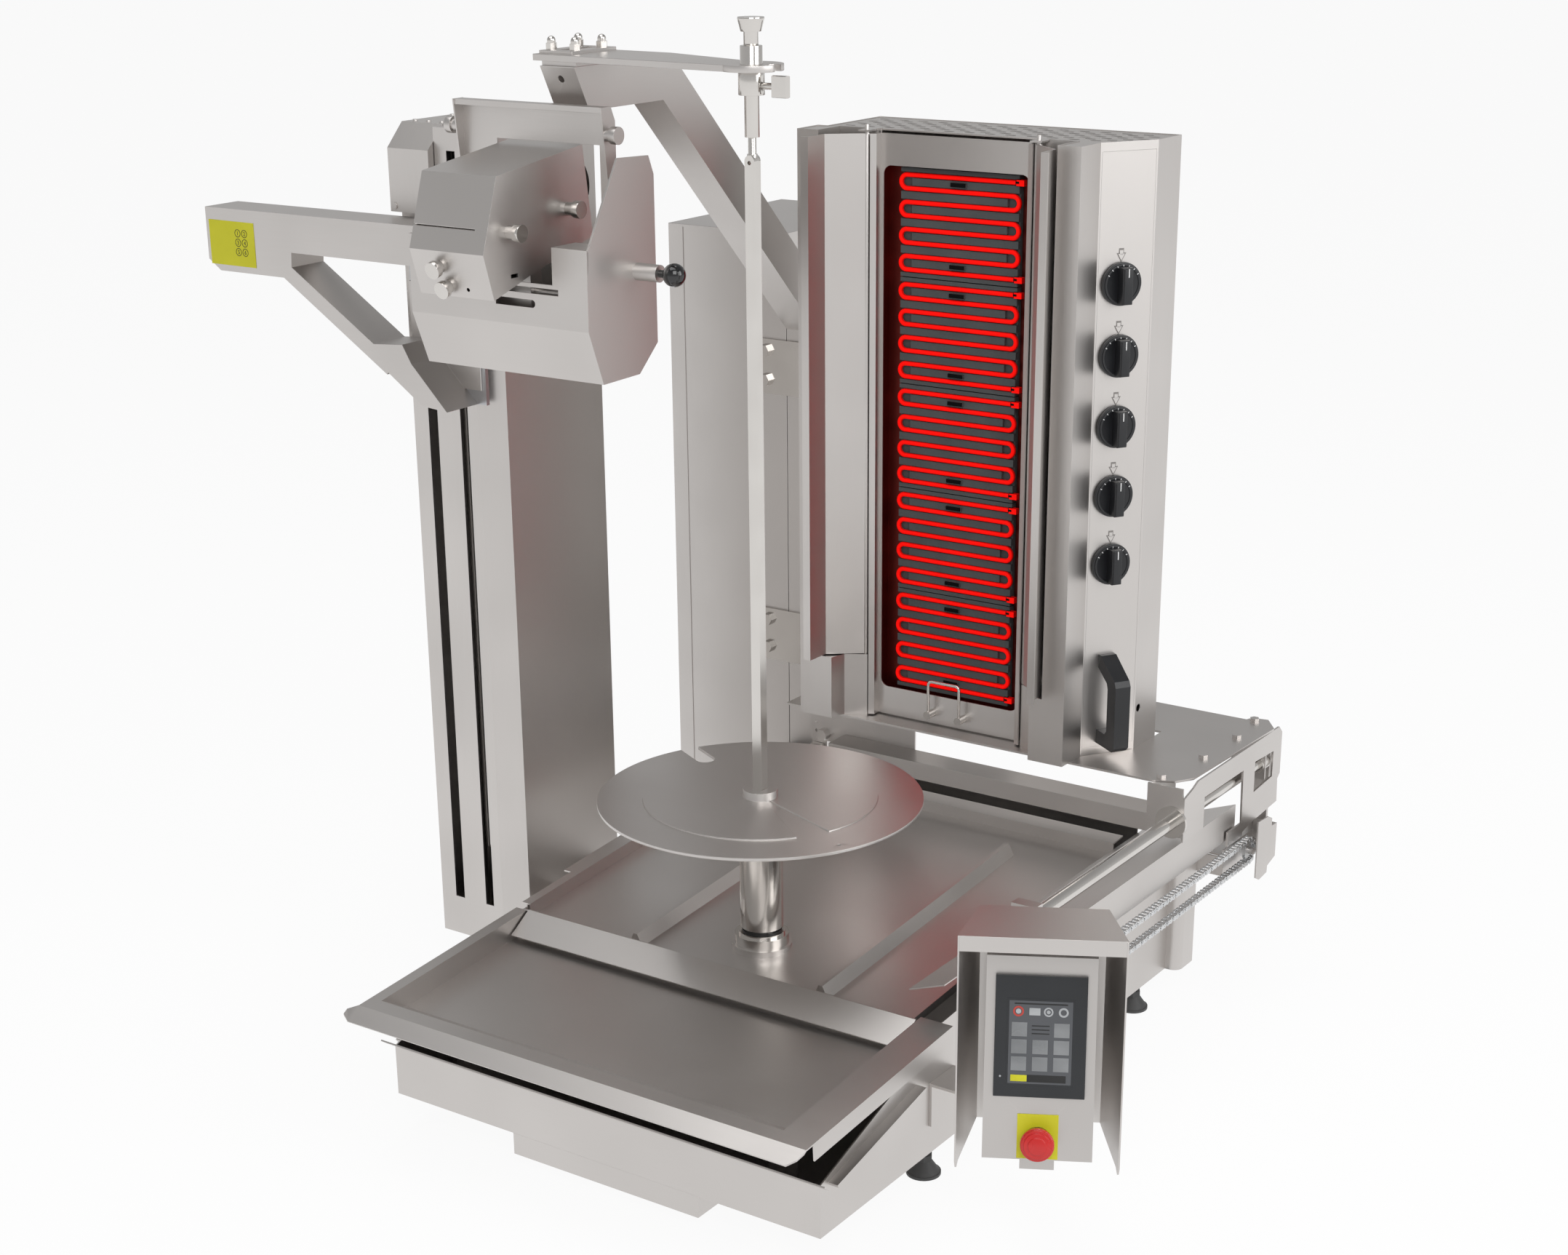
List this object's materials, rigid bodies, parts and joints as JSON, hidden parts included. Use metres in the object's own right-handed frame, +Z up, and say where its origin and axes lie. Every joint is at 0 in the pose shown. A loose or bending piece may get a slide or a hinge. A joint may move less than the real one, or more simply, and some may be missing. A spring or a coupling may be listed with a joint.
{
  "type": "electric doner kebab grill",
  "caption": "Electric vertical rotisserie: turntable spit over a tray, sliding heater with infrared zones and knobs, slicing head on a lift column, hooded control panel.",
  "frame": {"origin": "on the floor under the axis of the spit", "axes": "+Z up along the spit, +X to the right along the front of the base, +Y to the back"},
  "size_m": [1.5871, 1.2913, 1.4085],
  "materials": {
    "sheet": "folded stainless steel sheet, fine linear grain",
    "inner_sheet": "heat-tinted stainless steel",
    "frame_tube": "square stainless steel tube, brushed along its length",
    "turned": "turned and polished stainless steel",
    "chain": "bright roller chain steel with a film of oil",
    "foot": "grey moulded foot",
    "seal": "black rubber lip seal",
    "motor": "dark enamelled gear motor",
    "ceramic": "fired dark grey heater ceramic",
    "element": "red glowing tubular heating element",
    "knob": "black moulded thermoset",
    "ball_knob": "black polished ball knob",
    "aluminium_block": "milled aluminium",
    "screen": "black bezel with a glass touch screen",
    "stop_button": "red moulded mushroom button"
  },
  "bodies": {
    "frame": {"base_chassis": "sheet", "drive_box": "sheet", "adjustable_feet": "foot", "main_tray": "sheet", "rail_skirt": "sheet", "shaft_collar": "turned", "shaft_seal": "seal", "spit_gearmotor": "motor", "arm_tube": "frame_tube", "top_arm_plate": "turned", "frame_clamps": "turned", "top_bearing": "turned", "back_cabinet": "sheet", "guide_rods": "turned", "rod_brackets": "sheet", "drive_chain": "chain", "drive_covers": "sheet", "robot_column": "sheet", "lift_rails": "turned", "control_hood": "sheet", "control_box": "sheet", "touch_screen": "screen"},
    "pan": {"front_pan": "sheet"},
    "spit": {"shaft_tube": "turned", "spit_disc": "sheet", "spit_bar": "turned"},
    "lifting_pin": {"lifting_pin": "turned"},
    "wing_screw": {"wing_screw": "turned"},
    "heater": {"carriage_plate": "sheet", "carriage_side_plate": "sheet", "rod_bearings": "turned", "cross_beam": "frame_tube", "left_runner": "sheet", "heater_housing": "sheet", "perforated_top": "sheet", "heater_front_panel": "sheet", "reflector_box": "inner_sheet", "ceramic_plates": "ceramic", "heating_elements": "element", "knob_panel": "sheet", "bow_handle": "knob", "wire_bail": "turned"},
    "knob_1": {"knob_1": "knob"},
    "knob_2": {"knob_2": "knob"},
    "knob_3": {"knob_3": "knob"},
    "knob_4": {"knob_4": "knob"},
    "knob_5": {"knob_5": "knob"},
    "left_wing": {"left_wing": "sheet"},
    "right_wing": {"right_wing": "sheet"},
    "drive_sprocket": {"drive_sprocket": "chain"},
    "idler_sprocket": {"idler_sprocket": "chain"},
    "head": {"robot_carriage": "aluminium_block", "head_body": "sheet", "shield_plate": "sheet", "left_arm": "sheet"},
    "blade_box": {"blade_box": "sheet", "thumb_knobs": "turned"},
    "blade": {"round_blade": "turned"},
    "plunger": {"spring_plunger": "ball_knob"},
    "stop_button": {"stop_button": "stop_button"}
  },
  "joints": [
    {"name": "spit_spin", "type": "hinge", "parent": "frame", "child": "spit", "pos_m": [0, 0, 0.423], "axis": [0, 0, 1], "continuous": true},
    {"name": "pan_slide", "type": "slide", "parent": "frame", "child": "pan", "axis": [0, -0.9975, -0.071], "range_m": [0, 0.15]},
    {"name": "spit_release", "type": "slide", "parent": "frame", "child": "lifting_pin", "axis": [0, 0, 1], "range_m": [0, 0.045]},
    {"name": "wing_screw_turn", "type": "hinge", "parent": "frame", "child": "wing_screw", "pos_m": [0.03, 0, 1.33], "axis": [1, 0, 0], "range_deg": [-180, 0]},
    {"name": "heater_travel", "type": "slide", "parent": "frame", "child": "heater", "axis": [0, 1, 0], "range_m": [-0.18, 0]},
    {"name": "left_wing_hinge", "type": "hinge", "parent": "heater", "child": "left_wing", "pos_m": [-0.1345, 0.467, 0.8], "axis": [0, 0, 1], "range_deg": [-3, 30]},
    {"name": "right_wing_hinge", "type": "hinge", "parent": "heater", "child": "right_wing", "pos_m": [0.1345, 0.467, 0.8], "axis": [0, 0, 1], "range_deg": [-30, 3]},
    {"name": "knob_1_turn", "type": "hinge", "parent": "heater", "child": "knob_1", "pos_m": [0.24216, 0.50482, 1.044], "axis": [0.8284, -0.5601, 0], "range_deg": [-45, 45]},
    {"name": "knob_2_turn", "type": "hinge", "parent": "heater", "child": "knob_2", "pos_m": [0.24216, 0.50482, 0.9475], "axis": [0.8284, -0.5601, 0], "range_deg": [-45, 45]},
    {"name": "knob_3_turn", "type": "hinge", "parent": "heater", "child": "knob_3", "pos_m": [0.24216, 0.50482, 0.851], "axis": [0.8284, -0.5601, 0], "range_deg": [-45, 45]},
    {"name": "knob_4_turn", "type": "hinge", "parent": "heater", "child": "knob_4", "pos_m": [0.24216, 0.50482, 0.7545], "axis": [0.8284, -0.5601, 0], "range_deg": [-45, 45]},
    {"name": "knob_5_turn", "type": "hinge", "parent": "heater", "child": "knob_5", "pos_m": [0.24216, 0.50482, 0.658], "axis": [0.8284, -0.5601, 0], "range_deg": [-45, 45]},
    {"name": "drive_sprocket_turn", "type": "hinge", "parent": "frame", "child": "drive_sprocket", "pos_m": [0.409, 0.65, 0.217], "axis": [-1, 0, 0], "range_deg": [-620, 620]},
    {"name": "idler_sprocket_turn", "type": "hinge", "parent": "frame", "child": "idler_sprocket", "pos_m": [0.409, 0.18804, 0.217], "axis": [-1, 0, 0], "range_deg": [-620, 620]},
    {"name": "head_lift", "type": "slide", "parent": "frame", "child": "head", "axis": [0, 0, 1], "range_m": [-0.5, 0]},
    {"name": "blade_slide", "type": "slide", "parent": "head", "child": "blade_box", "axis": [1, 0, 0], "range_m": [0, 0.036]},
    {"name": "blade_spin", "type": "hinge", "parent": "blade_box", "child": "blade", "pos_m": [-0.335, 0.047, 1.19], "axis": [0, 1, 0], "continuous": true},
    {"name": "plunger_pull", "type": "slide", "parent": "head", "child": "plunger", "axis": [1, 0, 0], "range_m": [0, 0.008], "stiffness_N_per_m": 900, "springref_m": -0.002},
    {"name": "stop_press", "type": "slide", "parent": "frame", "child": "stop_button", "axis": [-0.4592, 0.8637, -0.2079], "range_m": [0, 0.006], "stiffness_N_per_m": 900, "springref_m": -0.002}
  ],
  "couplings": [
    {"joint": "drive_sprocket_turn", "follows": "heater_travel", "rad_per_m": -59.156},
    {"joint": "idler_sprocket_turn", "follows": "heater_travel", "rad_per_m": -59.156}
  ]
}
